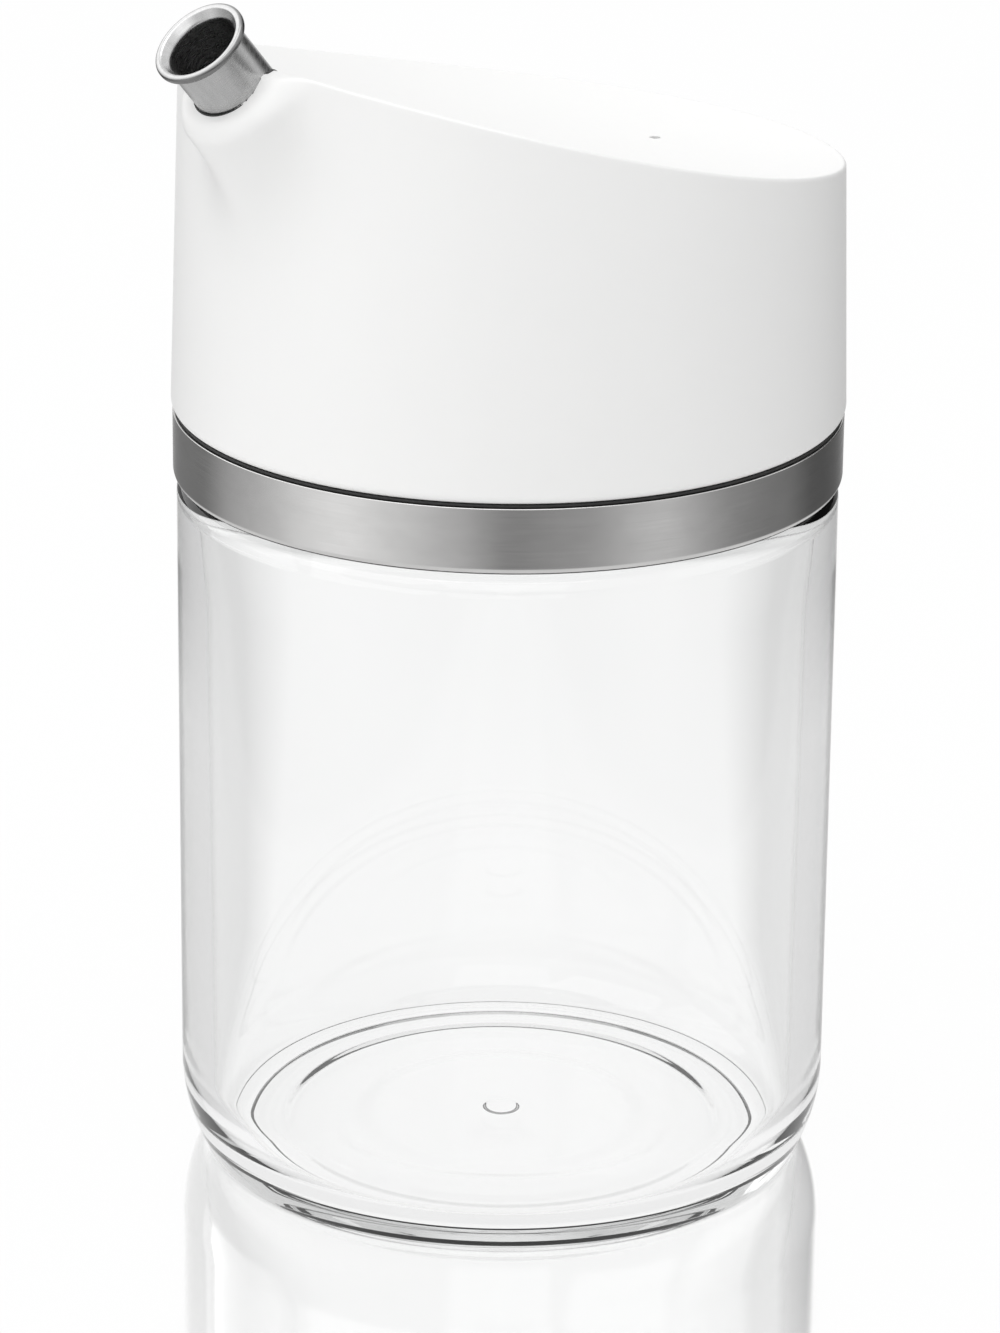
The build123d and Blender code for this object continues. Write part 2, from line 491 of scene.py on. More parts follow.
def moulded_grain_group() -> Tree:
    """Two sizes of soft noise: slow cloudiness for colour and fine grain for relief.

    Returns:
        The group, with outputs Cloud and Grain between 0 and 1.
    """
    numbers = {"Cloud Scale": 40.0, "Grain Scale": 1500.0}
    group, given, outside = new_group("Moulded grain", numbers, ("Cloud", "Grain"))
    for output, scale, detail in (("Cloud", "Cloud Scale", 3.0), ("Grain", "Grain Scale", 2.0)):
        inputs = {"Vector": given["Vector"], "Scale": given[scale], "Detail": detail}
        fill(group, outside, {output: add_node(group, "TexNoise", inputs).outputs["Fac"]})
    return group


def turned_lines_group() -> Tree:
    """Brush marks that run round an axis: noise of (angle, radius, height), stretched.

    The angle is atan2(y, x), so the vector's Z must be the axis. The angle is scaled low and the
    height high, which draws long thin marks round the piece.

    Returns:
        The group, with outputs Lines and Streaks between 0 and 1.
    """
    numbers = {"Line Scale": 9000.0, "Mark Length": 3.0}
    group, given, outside = new_group("Turned lines", numbers, ("Lines", "Streaks"))
    place = add_node(group, "SeparateXYZ", {"Vector": given["Vector"]}).outputs
    angle = maths(group, "ARCTAN2", place["Y"], place["X"])
    radius = measure(group, "LENGTH", given["Vector"])
    for output, along, across in (("Lines", 1.0, 1.0), ("Streaks", 2.5, 0.04)):
        stretch = maths(group, "MULTIPLY", given["Mark Length"], along)
        fine = maths(group, "MULTIPLY", given["Line Scale"], across)
        parts = {
            "X": maths(group, "MULTIPLY", angle, stretch),
            "Y": radius,
            "Z": maths(group, "MULTIPLY", place["Z"], fine),
        }
        joined = add_node(group, "CombineXYZ", parts).outputs["Vector"]
        noise = add_node(group, "TexNoise", {"Vector": joined, "Scale": 1.0, "Detail": 3.0})
        fill(group, outside, {output: noise.outputs["Fac"]})
    return group


def room_tone_group() -> Tree:
    """Brightness of the room by the compass direction of a vector from the jar.

    The direction is atan2(rightwards, frontwards), where the front is the side that the camera is
    on. The room is white behind the jar, darker at both sides of that, pale at the sides and dim in
    front.

    Returns:
        The group, with output Tone.
    """
    group, given, outside = new_group("Room tone", {}, ("Tone",))
    rightwards, frontwards = (
        measure(group, "DOT_PRODUCT", given["Vector"], compass(CAMERA_AZIMUTH + aside))
        for aside in (90.0, 0.0)
    )
    angle = maths(group, "ARCTAN2", rightwards, frontwards)
    ramp = add_node(group, "ValToRGB", {"Fac": fade(group, angle, (-math.pi, math.pi))})
    left = [(180 - degrees, tone) for degrees, tone in zip(TONE_DEGREES, TONES_LEFT)]
    right = [(180 + degrees, tone) for degrees, tone in zip(TONE_DEGREES, TONES_RIGHT)]
    stops = ramp.color_ramp.elements
    for k, (degrees, tone) in enumerate(left[::-1] + right[1:]):
        stop = stops[k] if k < 2 else stops.new(degrees / 360.0)
        stop.position = degrees / 360.0
        stop.color = (tone, tone, tone, 1.0)
    fill(group, outside, {"Tone": ramp.outputs["Color"]})
    return group


@dataclass
class Groups:
    """The shared node groups."""

    grain: Tree = field(default_factory=moulded_grain_group)
    lines: Tree = field(default_factory=turned_lines_group)
    room: Tree = field(default_factory=room_tone_group)


# Finishes


@dataclass(frozen=True)
class Finish:
    """Two colours and two roughnesses that a pattern blends, with its relief in metres."""

    name: str
    low: Rgb
    high: Rgb
    smooth: float
    rough: float
    relief: float = 0.00001
    strength: float = 0.25

    def material(self, groups: Groups) -> bpy.types.Material:
        """Makes the material.

        Args:
            groups: The shared node groups.

        Returns:
            The material.
        """
        material = bpy.data.materials.new(self.name)
        material.use_nodes = True
        tree = material.node_tree
        place = tree.nodes.new("ShaderNodeTexCoord").outputs["Object"]
        self.dress(tree, tree.nodes["Principled BSDF"], groups, place)
        return material

    def dress(self, tree: Tree, shader: bpy.types.Node, groups: Groups, place: Socket) -> None:
        """Fills the shader; each kind of finish has its own way.

        Args:
            tree: The material's tree.
            shader: Its Principled BSDF.
            groups: The shared node groups.
            place: The place on the piece.
        """
        raise NotImplementedError

    def cover(
        self, tree: Tree, shader: bpy.types.Node, broad: Socket, fine: Socket, raised: Socket
    ) -> None:
        """Blends colour, roughness and relief over the surface.

        Args:
            tree: The material's tree.
            shader: Its Principled BSDF.
            broad: Mask for the colour.
            fine: Mask for the roughness.
            raised: Mask for the relief.
        """
        bump = {"Strength": self.strength, "Distance": self.relief, "Height": raised}
        inputs = {
            "Base Color": blend(tree, broad, self.low, self.high),
            "Roughness": fade(tree, fine, MASK_SPAN, (self.smooth, self.rough)),
            "Normal": add_node(tree, "Bump", bump).outputs["Normal"],
        }
        fill(tree, shader, inputs)


@dataclass(frozen=True)
class MouldedFinish(Finish):
    """Plastic or rubber from a mould: faint cloudiness in the colour and a fine grain."""

    cloud_scale: float = 45.0
    grain_scale: float = 1500.0

    def dress(self, tree: Tree, shader: bpy.types.Node, groups: Groups, place: Socket) -> None:
        """Fills the shader by the moulded grain.

        Args:
            tree: The material's tree.
            shader: Its Principled BSDF.
            groups: The shared node groups.
            place: The place on the piece.
        """
        scales = {"Cloud Scale": self.cloud_scale, "Grain Scale": self.grain_scale}
        masks = add_group(tree, groups.grain, {"Vector": place, **scales}).outputs
        self.cover(tree, shader, masks["Cloud"], masks["Grain"], masks["Grain"])


@dataclass(frozen=True)
class TurnedSteelFinish(Finish):
    """Steel brushed round an axis, with long fine marks and broader streaks.

    The edge and lip fields scale the colour by the distance from the axis and by the height along
    it: where the change begins, where it ends, and the factor past it. This is painted light: a
    painted shade past the edge radius and a painted highlight past the lip height.
    """

    relief: float = 0.000004
    strength: float = 0.3
    line_scale: float = 9000.0
    mark_length: float = 3.0
    anisotropy: float = 0.6
    axis_point: Vec3 = (0.0, 0.0, 0.0)
    axis_tilt: float = 0.0
    painted_edge_shade: Vec3 | None = None
    painted_lip_highlight: Vec3 = (0.0, 1.0, 1.0)

    def dress(self, tree: Tree, shader: bpy.types.Node, groups: Groups, place: Socket) -> None:
        """Fills the shader; a Mapping node turns the pattern's axis onto the piece's own.

        Args:
            tree: The material's tree.
            shader: Its Principled BSDF.
            groups: The shared node groups.
            place: The place on the piece.
        """
        mapping = {
            "Vector": place,
            "Location": tuple(c * MM for c in self.axis_point),
            "Rotation": (0.0, -math.radians(self.axis_tilt), 0.0),
        }
        turn = add_node(tree, "Mapping", mapping)
        turn.vector_type = "TEXTURE"
        vector = turn.outputs["Vector"]
        scales = {"Line Scale": self.line_scale, "Mark Length": self.mark_length}
        masks = add_group(tree, groups.lines, {"Vector": vector, **scales}).outputs
        self.cover(tree, shader, masks["Streaks"], masks["Lines"], masks["Lines"])
        # Painted shade and painted highlight: the colour is darkened at the outer edge and
        # brightened along the lip, not lit by the lamps.
        if self.painted_edge_shade is not None:
            colour = shader.inputs["Base Color"].links[0].from_socket
            fill(tree, shader, {"Base Color": self.shaded(tree, vector, colour)})
        fill(tree, shader, {"Metallic": 1.0, "Anisotropic": self.anisotropy})

    def shaded(self, tree: Tree, vector: Socket, colour: Socket) -> Socket:
        """The colour with painted light, scaled by the distance from the axis and by the height
        along it.

        Args:
            tree: The material's tree.
            vector: The place in the axis's own frame.
            colour: The colour.

        Returns:
            The scaled colour.
        """
        level = add_node(tree, "VectorMath", {0: vector, 1: (1.0, 1.0, 0.0)}, "MULTIPLY")
        away = measure(tree, "LENGTH", level.outputs["Vector"])
        height = add_node(tree, "SeparateXYZ", {"Vector": vector}).outputs["Z"]
        factors = []
        for value, (begin, end, factor) in ((away, self.painted_edge_shade), (height, self.painted_lip_highlight)):
            factors.append(fade(tree, value, (begin * MM, end * MM), (1.0, factor)))
        inputs = {0: colour, "Scale": maths(tree, "MULTIPLY", *factors)}
        return add_node(tree, "VectorMath", inputs, "SCALE").outputs["Vector"]


@dataclass(frozen=True)
class ClearGlassFinish(Finish):
    """Clear pressed glass, a little wavy, with a faint cool tint that grows with its depth."""

    relief: float = 0.00003
    strength: float = 0.12
    index: float = 1.5
    wave_scale: float = 60.0
    grain_scale: float = 400.0
    depth_tint: Rgb = (0.5, 0.51, 0.507)
    depth: float = 7.0

    def dress(self, tree: Tree, shader: bpy.types.Node, groups: Groups, place: Socket) -> None:
        """Fills the shader and the volume behind it.

        Args:
            tree: The material's tree.
            shader: Its Principled BSDF.
            groups: The shared node groups.
            place: The place on the piece.
        """
        scales = {"Cloud Scale": self.wave_scale, "Grain Scale": self.grain_scale}
        masks = add_group(tree, groups.grain, {"Vector": place, **scales}).outputs
        self.cover(tree, shader, masks["Cloud"], masks["Grain"], masks["Cloud"])
        fill(tree, shader, {"Transmission Weight": 1.0, "IOR": self.index})
        inputs = {"Color": (*self.depth_tint, 1.0), "Density": self.depth}
        depth = add_node(tree, "VolumeAbsorption", inputs).outputs["Volume"]
        fill(tree, tree.nodes["Material Output"], {"Volume": depth})


SPOUT_TILT = 40.5
SPOUT_BASE = (-42.0, 0.0, 139.5)
GLASS = ClearGlassFinish("clear_glass", (0.984, 0.986, 0.985), (0.994, 0.995, 0.9945), 0.0, 0.012)
WHITE_PLASTIC = MouldedFinish("white_plastic", (0.85, 0.85, 0.845), (0.87, 0.87, 0.865), 0.34, 0.42)
DARK_PLASTIC = MouldedFinish("dark_plastic", (0.03, 0.03, 0.032), (0.045, 0.045, 0.048), 0.45, 0.6)
BLACK_RUBBER = MouldedFinish("black_rubber", (0.012, 0.012, 0.012), (0.02, 0.02, 0.02), 0.55, 0.75)
SILICONE = MouldedFinish("clear_silicone", (0.66, 0.66, 0.64), (0.74, 0.74, 0.72), 0.4, 0.5)
BAND_STEEL = TurnedSteelFinish("band_steel", (0.6, 0.595, 0.59), (0.72, 0.715, 0.71), 0.16, 0.26)
SPOUT_STEEL = TurnedSteelFinish(
    "spout_steel",
    (0.42, 0.42, 0.42),
    (0.54, 0.54, 0.54),
    smooth=0.22,
    rough=0.34,
    relief=0.000002,
    line_scale=7000.0,
    anisotropy=0.5,
    axis_point=SPOUT_BASE,
    axis_tilt=SPOUT_TILT,
    # Painted shade on the lip's outer rim (0.4 of the colour past r 5.5) and a painted highlight on
    # the lip (1.15 past s 6.3).
    painted_edge_shade=(5.2, 5.5, 0.4),
    painted_lip_highlight=(5.9, 6.3, 1.15),
)


@dataclass
class Workshop:
    """Makes the pieces and dresses them, each finish made once."""

    groups: Groups
    made: dict[str, bpy.types.Material] = field(default_factory=dict)
    weld: float = 2e-6

    def write_mesh(self, name: str, surface: Surface) -> bpy.types.Mesh:
        """Writes a surface into a smooth mesh in metres, with its poles and seams welded.

        Args:
            name: The mesh's name.
            surface: The surface, in millimetres.

        Returns:
            The mesh, without loose points.
        """
        mesh = bpy.data.meshes.new(name)
        mesh.from_pydata((surface.points * MM).tolist(), [], surface.faces.tolist())
        work = bmesh.new()
        work.from_mesh(mesh)
        loose = [vert for vert in work.verts if not vert.link_faces]
        bmesh.ops.delete(work, geom=loose, context="VERTS")
        bmesh.ops.remove_doubles(work, verts=work.verts, dist=self.weld)
        work.to_mesh(mesh)
        work.free()
        mesh.shade_smooth()
        return mesh

    def add(
        self, name: str, surface: Surface, body: str, finish: Finish, node: str, slot: str
    ) -> None:
        """Makes a piece, hangs it on its body and puts it in the place of its CAD node.

        Args:
            name: The piece's name.
            surface: The surface, in millimetres.
            body: The body that the piece rides on.
            finish: The finish to give it.
            node: The CAD node that it stands for.
            slot: The record's material slot; not used.
        """
        piece = bpy.data.objects.new(name, self.write_mesh(name, surface))
        bpy.context.scene.collection.objects.link(piece)
        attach(piece, body)
        if finish.name not in self.made:
            self.made[finish.name] = finish.material(self.groups)
        piece.data.materials.append(self.made[finish.name])
        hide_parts(node)
        LOG.info("%s: %d points on %s", name, len(piece.data.vertices), body)


# Sub-assemblies


@dataclass
class Jar:
    """The glass jar: thick foot, straight wall, round shoulder and threaded neck."""

    wall_r: float = 39.4
    shoulder_z: float = 85.4
    shoulder_round: float = 2.2
    shoulder_below: float = 4.0
    neck_r: float = 35.4
    neck_root: float = 0.8
    mouth_r: float = 32.6
    mouth_z: float = 96.4
    mouth_below: float = 1.6
    mouth_round: float = 0.9
    inside_top_r: float = 36.1
    inside_low_r: float = 35.6
    inside_shoulder_low_z: float = 82.0
    inside_shoulder_high_z: float = 86.5
    floor_mid_z: float = 4.2
    floor_edge_r: float = 30.2
    floor_edge_z: float = 2.8
    floor_corner_z: float = 12.0
    floor_corner_power: float = 2.2
    foot_arc_r: float = 19.5
    foot_arc_z: float = 10.67
    foot_arc_short: float = 0.035
    stand_outer_r: float = 35.75
    stand_inner_r: float = 31.9
    recess_r: float = 31.4
    recess_h: float = 0.6
    dome_h: float = 1.5
    beads: tuple[Vec3, Vec3] = ((27.5, 2.0, 0.22), (18.6, 3.6, 0.16))
    pip_r: float = 2.0
    pip_h: float = 0.3
    pip_soft: float = 0.08
    pip_reach: float = 0.6
    thread: Thread = Thread(height=0.6, width=1.7, start=89.2, pitch=3.2, turns=1.4)
    tolerance: float = 0.001

    def underside(self) -> np.ndarray:
        """Domed recess from the middle out, with two soft beads and a pip raised off the dome.

        The dome is z = recess + (dome - recess)(1 - (r/recess radius)^2), less a raised cosine at
        each bead (its radius, half its width, its height) and a soft step for the pip.

        Returns:
            Points as an array of (r, z).
        """
        knots = (0.0, self.pip_r - self.pip_reach, self.pip_r + self.pip_reach, self.recess_r)
        r = spaced(knots, (5, 25, 99))
        z = self.recess_h + (self.dome_h - self.recess_h) * (1.0 - (r / self.recess_r) ** 2)
        for at, half_width, height in self.beads:
            near = np.clip(np.abs(r - at) / half_width, 0.0, 1.0)
            z = z - height * 0.5 * (1.0 + np.cos(np.pi * near))
        z = z - self.pip_h / (1.0 + np.exp((r - self.pip_r) / self.pip_soft))
        return np.stack([r, z], axis=1)

    def foot_arc(self) -> np.ndarray:
        """The short round at the stand ring, then the large round up to the wall.

        Returns:
            Points as an array of (r, z).
        """
        lowest = -math.asin(self.foot_arc_z / self.foot_arc_r)
        angle = np.linspace(lowest + self.foot_arc_short, 0.0, 40)
        centre = (self.wall_r - self.foot_arc_r, self.foot_arc_z)
        arc = oval_arc(centre, (self.foot_arc_r, self.foot_arc_r), angle)
        slope = np.array([-math.sin(angle[0]), math.cos(angle[0])])
        corner = arc[0] - slope * (arc[0][1] / slope[1])
        turn = bend(np.array([self.stand_outer_r, 0.0]), corner, arc[0], 10)
        return np.vstack([turn[:-1], arc])

    def inside(self) -> np.ndarray:
        """Inner outline from the mouth down: shoulder, slightly tapered wall, rounded floor corner.

        The shoulder is the S-curve 3t^2 - 2t^3 and the floor's corner is a quarter of a
        superellipse.

        Returns:
            Points as an array of (r, z).
        """
        t = np.linspace(0.0, 1.0, 24)
        across = self.mouth_r + (self.inside_top_r - self.mouth_r) * (t * t * (3.0 - 2.0 * t))
        high = self.inside_shoulder_high_z
        shoulder = np.stack([across, high + (self.inside_shoulder_low_z - high) * t], axis=1)
        reach = (self.inside_low_r - self.floor_edge_r, self.floor_edge_z - self.floor_corner_z)
        quarter = np.linspace(0.0, math.pi / 2.0, 26)
        power = 2.0 / self.floor_corner_power
        corner = oval_arc((self.floor_edge_r, self.floor_corner_z), reach, quarter, power)
        wall = np.linspace(shoulder[-1], corner[0], 10)[1:-1]
        floor = np.linspace(corner[-1], (0.0, self.floor_mid_z), 16)[1:]
        return np.vstack([shoulder, wall, corner, floor])

    def stand(self) -> np.ndarray:
        """The flat ring that the jar stands on, eased at its inner edge.

        Returns:
            Points as an array of (r, z).
        """
        edge = np.array([(self.stand_inner_r - 0.05, 0.04), (self.stand_inner_r + 0.05, 0.0)])
        flat = np.linspace((self.stand_inner_r + 0.15, 0.0), (self.stand_outer_r - 0.1, 0.0), 4)
        return np.vstack([edge, flat])

    def outline(self) -> np.ndarray:
        """The whole outline, from the middle of the underside round to the middle of the floor.

        Returns:
            Points as an array of (r, z).
        """
        wall_top = self.shoulder_z - self.shoulder_below
        neck_top = self.mouth_z - self.mouth_below
        neck = rounded_outline(
            [
                (self.wall_r, wall_top, 0.0),
                (self.wall_r, self.shoulder_z, self.shoulder_round),
                (self.neck_r, self.shoulder_z, self.neck_root),
                (self.neck_r, neck_top, 0.0),
            ],
            closed=False,
            steps=10,
        )[1:]
        rim = rounded_outline(
            [
                (self.neck_r, neck_top, 0.0),
                (self.neck_r, self.mouth_z, self.mouth_round),
                (self.mouth_r, self.mouth_z, self.mouth_round),
                (self.mouth_r, self.inside_shoulder_high_z, 0.0),
            ],
            closed=False,
            steps=8,
        )[1:-1]
        wall = upright(self.wall_r, self.foot_arc_z, wall_top, 24)[1:]
        threaded = upright(self.neck_r, neck[-2, 1], neck_top, 64)[1:]
        foot = (self.underside(), self.stand(), self.foot_arc())
        return np.vstack([*foot, wall, neck[:-1], threaded, rim, self.inside()])

    def build(self, shop: Workshop) -> None:
        """Makes the jar, with its screw ridge raised on the neck.

        Args:
            shop: The workshop that makes and dresses it.
        """
        outline = self.outline()
        on_neck = np.abs(outline[:, 0] - self.neck_r) < self.tolerance
        surface = self.thread.turned(outline, on_neck, self.neck_r, Closing.OPEN)
        shop.add("jar_glass", surface, "jar", GLASS, "glass_jar", "clear_glass")


@dataclass
class MouthSeal:
    """The flat ring that closes the jar's rim."""

    radii: Pair = (32.3, 36.0)
    heights: Pair = (96.42, 97.98)
    edge_round: float = 0.3

    def build(self, shop: Workshop) -> None:
        """Makes the ring."""
        ring = lathe(ring_outline(self.radii, self.heights, (self.edge_round,) * 4))
        shop.add("mouth_ring", ring, "seal", SILICONE, "mouth_gasket", "clear_silicone")


@dataclass
class Collar:
    """The dark screw collar, the steel band round it and the black seam ring on top of them."""

    skirt_inner_r: float = 36.85
    skirt_r: float = 38.95
    skirt_foot_z: float = 86.7
    thread_low_z: float = 87.1
    thread_high_z: float = 97.6
    ledge_z: float = 93.8
    spigot_r: float = 37.75
    spigot_inner_r: float = 36.2
    spigot_top_z: float = 101.0
    disc_z: float = 98.0
    disc_top_z: float = 99.8
    disc_hole_r: float = 29.5
    lip_inner_r: float = 31.0
    lip_outer_r: float = 32.2
    lip_z: float = 93.0
    thread: Thread = Thread(height=-0.8, width=1.3, start=88.0, pitch=3.2, turns=1.3)
    band_r: float = 39.8
    band_t: float = 0.8
    band_foot_z: float = 85.8
    band_gap: float = 0.01
    curl_r: float = 1.2
    curl_in_r: float = 38.0
    seam_radii: Pair = (37.8, 39.55)
    seam_gap: float = 0.02
    seam_top_z: float = 94.18

    def collar_surface(self) -> Surface:
        """The turned collar, its screw ridge standing in from the skirt.

        Returns:
            The surface.
        """
        inner = upright(self.skirt_inner_r, self.thread_high_z, self.thread_low_z, 60)
        rest = rounded_outline(
            [
                (self.skirt_inner_r, self.thread_low_z, 0.0),
                (self.skirt_inner_r, self.skirt_foot_z, 0.3),
                (self.skirt_r, self.skirt_foot_z, 0.5),
                (self.skirt_r, self.ledge_z, 0.2),
                (self.spigot_r, self.ledge_z, 0.1),
                (self.spigot_r, self.spigot_top_z, 0.3),
                (self.spigot_inner_r, self.spigot_top_z, 0.3),
                (self.spigot_inner_r, self.disc_top_z, 0.3),
                (self.disc_hole_r, self.disc_top_z, 0.6),
                (self.disc_hole_r, self.disc_z, 0.6),
                (self.lip_inner_r, self.disc_z, 0.2),
                (self.lip_inner_r, self.lip_z, 0.3),
                (self.lip_outer_r, self.lip_z, 0.4),
                (self.lip_outer_r, self.disc_z, 0.1),
                (self.skirt_inner_r, self.disc_z, 0.1),
                (self.skirt_inner_r, self.thread_high_z, 0.0),
            ],
            closed=False,
        )[1:-1]
        outline = np.vstack([inner, rest])
        on_skirt = np.arange(len(outline)) < len(inner)
        return self.thread.turned(outline, on_skirt, self.skirt_inner_r, Closing.RING)

    def band_surface(self) -> Surface:
        """The band's upright wall, with its lower edge curled in.

        Returns:
            The surface.
        """
        inner_r = self.band_r - self.band_t
        curl_top = self.band_foot_z + self.band_t
        band_top = self.ledge_z - self.band_gap
        outline = rounded_outline(
            [
                (self.curl_in_r, self.band_foot_z, 0.2),
                (self.band_r, self.band_foot_z, self.curl_r),
                (self.band_r, band_top, 0.1),
                (inner_r, band_top, 0.15),
                (inner_r, curl_top, 0.4),
                (self.curl_in_r, curl_top, 0.2),
            ],
            steps=10,
        )
        return lathe(outline, 320)

    def build(self, shop: Workshop) -> None:
        """Makes the three rings.

        Args:
            shop: The workshop that makes and dresses them.
        """
        heights = (self.ledge_z + self.seam_gap, self.seam_top_z)
        seam = lathe(ring_outline(self.seam_radii, heights, (0.1, 0.25, 0.25, 0.1)))
        collar = self.collar_surface()
        shop.add("collar_ring", collar, "lid", DARK_PLASTIC, "screw_collar", "dark_plastic")
        shop.add("band_hoop", self.band_surface(), "lid", BAND_STEEL, "steel_band", "band_steel")
        shop.add("seam_ring", seam, "lid", BLACK_RUBBER, "seam_gasket", "black_rubber")


@dataclass
class SpoutFrame:
    """The spout's axis: s runs along it, outwards, from the middle of the boss's face."""

    tilt: float = SPOUT_TILT
    base_u: float = -SPOUT_BASE[0]
    base_z: float = SPOUT_BASE[2]

    def lean(self) -> Pair:
        """Sine and cosine of the tilt."""
        return math.sin(math.radians(self.tilt)), math.cos(math.radians(self.tilt))

    def along_across(
        self, u: np.ndarray, v: np.ndarray, z: np.ndarray
    ) -> tuple[np.ndarray, np.ndarray]:
        """Distance along the axis and distance from it.

        Args:
            u: Distance from the lid's axis towards the spout.
            v: Distance to the side.
            z: Height.

        Returns:
            s, and the distance from the axis.
        """
        sin_t, cos_t = self.lean()
        out, up = u - self.base_u, z - self.base_z
        return out * sin_t + up * cos_t, np.hypot(out * cos_t - up * sin_t, v)

    def spot(self, a: np.ndarray, s: np.ndarray) -> tuple[np.ndarray, np.ndarray]:
        """The u and z of a place a outwards from the axis, in its upright plane, and s along it."""
        sin_t, cos_t = self.lean()
        return self.base_u + a * cos_t + s * sin_t, self.base_z - a * sin_t + s * cos_t

    def place(self, turned: Surface) -> Surface:
        """Moves a surface turned round Z, with s as its height, onto the spout's axis.

        Args:
            turned: The surface, turned round Z.

        Returns:
            The surface in its place.
        """
        a, b, s = turned.points.T
        u, z = self.spot(a, s)
        return Surface(np.stack([-u, -b, z], axis=1), turned.faces)


@dataclass
class LidShell:
    """The white lid: tapered wall, blended boss, dished top, hollow inside."""

    spout: SpoutFrame = field(default_factory=SpoutFrame)
    foot_z: float = 94.2
    foot_r: float = 40.0
    foot_h: float = 3.0
    taper: float = 0.03
    foot_round: float = 1.1
    wall: float = 2.2
    top_wall: float = 2.4
    socket_r: float = 37.8
    socket_top_z: float = 101.5
    inside_round: float = 1.0
    dish_mid_z: float = 125.7
    dish_slope: float = 0.239
    dish_curve: float = 0.0042
    dish_cross: float = 0.0026
    dish_level_z: float = 141.0
    dish_level_blend: float = 0.5
    rim_round: float = 0.55
    boss_r: float = 7.5
    boss_edge: float = 2.3
    boss_blend: float = 9.0
    core_r: float = 7.0
    core_in: float = 14.0
    bore_r: float = 4.9
    hole_margin: float = 0.3
    outer_hole_s: float = -3.0
    inner_hole_s: float = -16.0
    vent_u: float = -23.1
    vent_r: float = 0.65
    vent_over_z: float = 110.0

    def wall_radius(self, z: np.ndarray) -> np.ndarray:
        """Radius of the plain wall at a height."""
        return self.foot_r - self.taper * (z - self.foot_z)

    def inner_radius(self, angle: np.ndarray, z: np.ndarray) -> np.ndarray:
        """Radius of the wall's inner side at a height, the same at every angle."""
        return self.wall_radius(z) - self.wall

    def dish(self, u: np.ndarray, v: np.ndarray) -> np.ndarray:
        """Height of the dished top, which climbs towards the spout and runs level past its boss.

        It is the softened lesser of (mid + slope u + curve u^2) and the level, plus cross v^2. The
        softening takes h^2 k / 4 off, with h = max(k - |difference|, 0) / k.

        Args:
            u: Distance from the lid's axis towards the spout.
            v: Distance to the side.

        Returns:
            The height.
        """
        climb = self.dish_mid_z + self.dish_slope * u + self.dish_curve * u**2
        k = self.dish_level_blend
        h = np.maximum(k - np.abs(climb - self.dish_level_z), 0.0) / k
        return np.minimum(climb, self.dish_level_z) - h * h * k / 4.0 + self.dish_cross * v**2

    def on_dish(self, r: np.ndarray, angle: np.ndarray, below: float = 0.0) -> np.ndarray:
        """A ring of (r, z) on the dished top or so far below it."""
        return np.stack([r, self.dish(*polar(r, angle)) - below])

    def skin_distance(self, r: np.ndarray, angle: np.ndarray, z: np.ndarray) -> np.ndarray:
        """Signed distance from the wall and boss, blended.

        The boss is a rod round the spout's axis, cut off square at s = 0 with a rounded edge. The
        two distances a and b are blended as min(a, b) - h^3 k / 6, with h = max(k - |a - b|, 0) / k
        and k the blend's size.

        Args:
            r: Distance from the lid's axis.
            angle: Angle from the spout's side, in radians.
            z: Height.

        Returns:
            Negative inside the plastic.
        """
        from_wall = r - self.wall_radius(z)
        s, away = self.spout.along_across(*polar(r, angle), z)
        over_side = away - (self.boss_r - self.boss_edge)
        over_end = s + self.boss_edge
        outside = np.hypot(np.maximum(over_side, 0.0), np.maximum(over_end, 0.0))
        from_boss = outside + np.minimum(np.maximum(over_side, over_end), 0.0) - self.boss_edge
        h = np.maximum(self.boss_blend - np.abs(from_wall - from_boss), 0.0) / self.boss_blend
        return np.minimum(from_wall, from_boss) - h**3 * self.boss_blend / 6.0

    def skin_radius(self, angle: np.ndarray, z: np.ndarray) -> np.ndarray:
        """Radius of the blended skin, found by stepping inwards by most of the distance left.

        Args:
            angle: Angle from the spout's side, in radians.
            z: Height.

        Returns:
            The radius at each place.
        """
        start_r, rounds, share = 60.0, 160, 0.9
        r = np.full(np.broadcast(angle, z).shape, start_r)
        for _ in range(rounds):
            r = r - np.maximum(self.skin_distance(r, angle, z), 0.0) * share
        return r

    def rim(self, angle: np.ndarray) -> np.ndarray:
        """Radius and height of the crease where the skin meets the dished top, by nearing it.

        Args:
            angle: Angle from the spout's side, in radians.

        Returns:
            The crease as a ring of (r, z).
        """
        start_z, rounds, share = 140.0, 24, 0.6
        z = np.full(angle.shape, start_z)
        for _ in range(rounds):
            z = z + share * (self.dish(*polar(self.skin_radius(angle, z), angle)) - z)
        return np.stack([self.skin_radius(angle, z), z])

    def inner_rim(self, angle: np.ndarray) -> np.ndarray:
        """The same crease inside, where the inner wall meets the ceiling.

        Args:
            angle: Angle from the spout's side, in radians.

        Returns:
            The crease as a ring of (r, z).
        """
        start_r, rounds = 36.6, 24
        r = np.full(angle.shape, start_r)
        for _ in range(rounds):
            ceiling = self.dish(*polar(r, angle)) - self.top_wall
            r = self.inner_radius(angle, ceiling)
        return np.stack([r, ceiling])

    def reach(self, radius: np.ndarray, angle: np.ndarray, below: np.ndarray) -> np.ndarray:
        """How far a line beside the spout's axis runs before it meets the dished top.

        Its height over the dish grows steadily with s, so the place where that is nought is found
        by halving.

        Args:
            radius: The line's distance from the axis.
            angle: Its angle round the axis.
            below: How far under the dish it stops.

        Returns:
            s at the line's end, within a limit just past the lid.
        """
        farthest, rounds = 10.0, 40
        a, b = polar(radius, angle)
        low = np.full(a.shape, -self.core_in)
        high = np.full(a.shape, farthest)
        for _ in range(rounds):
            middle = (low + high) / 2.0
            u, z = self.spout.spot(a, middle)
            over = z - self.dish(u, b) + below > 0.0
            high = np.where(over, middle, high)
            low = np.where(over, low, middle)
        return low

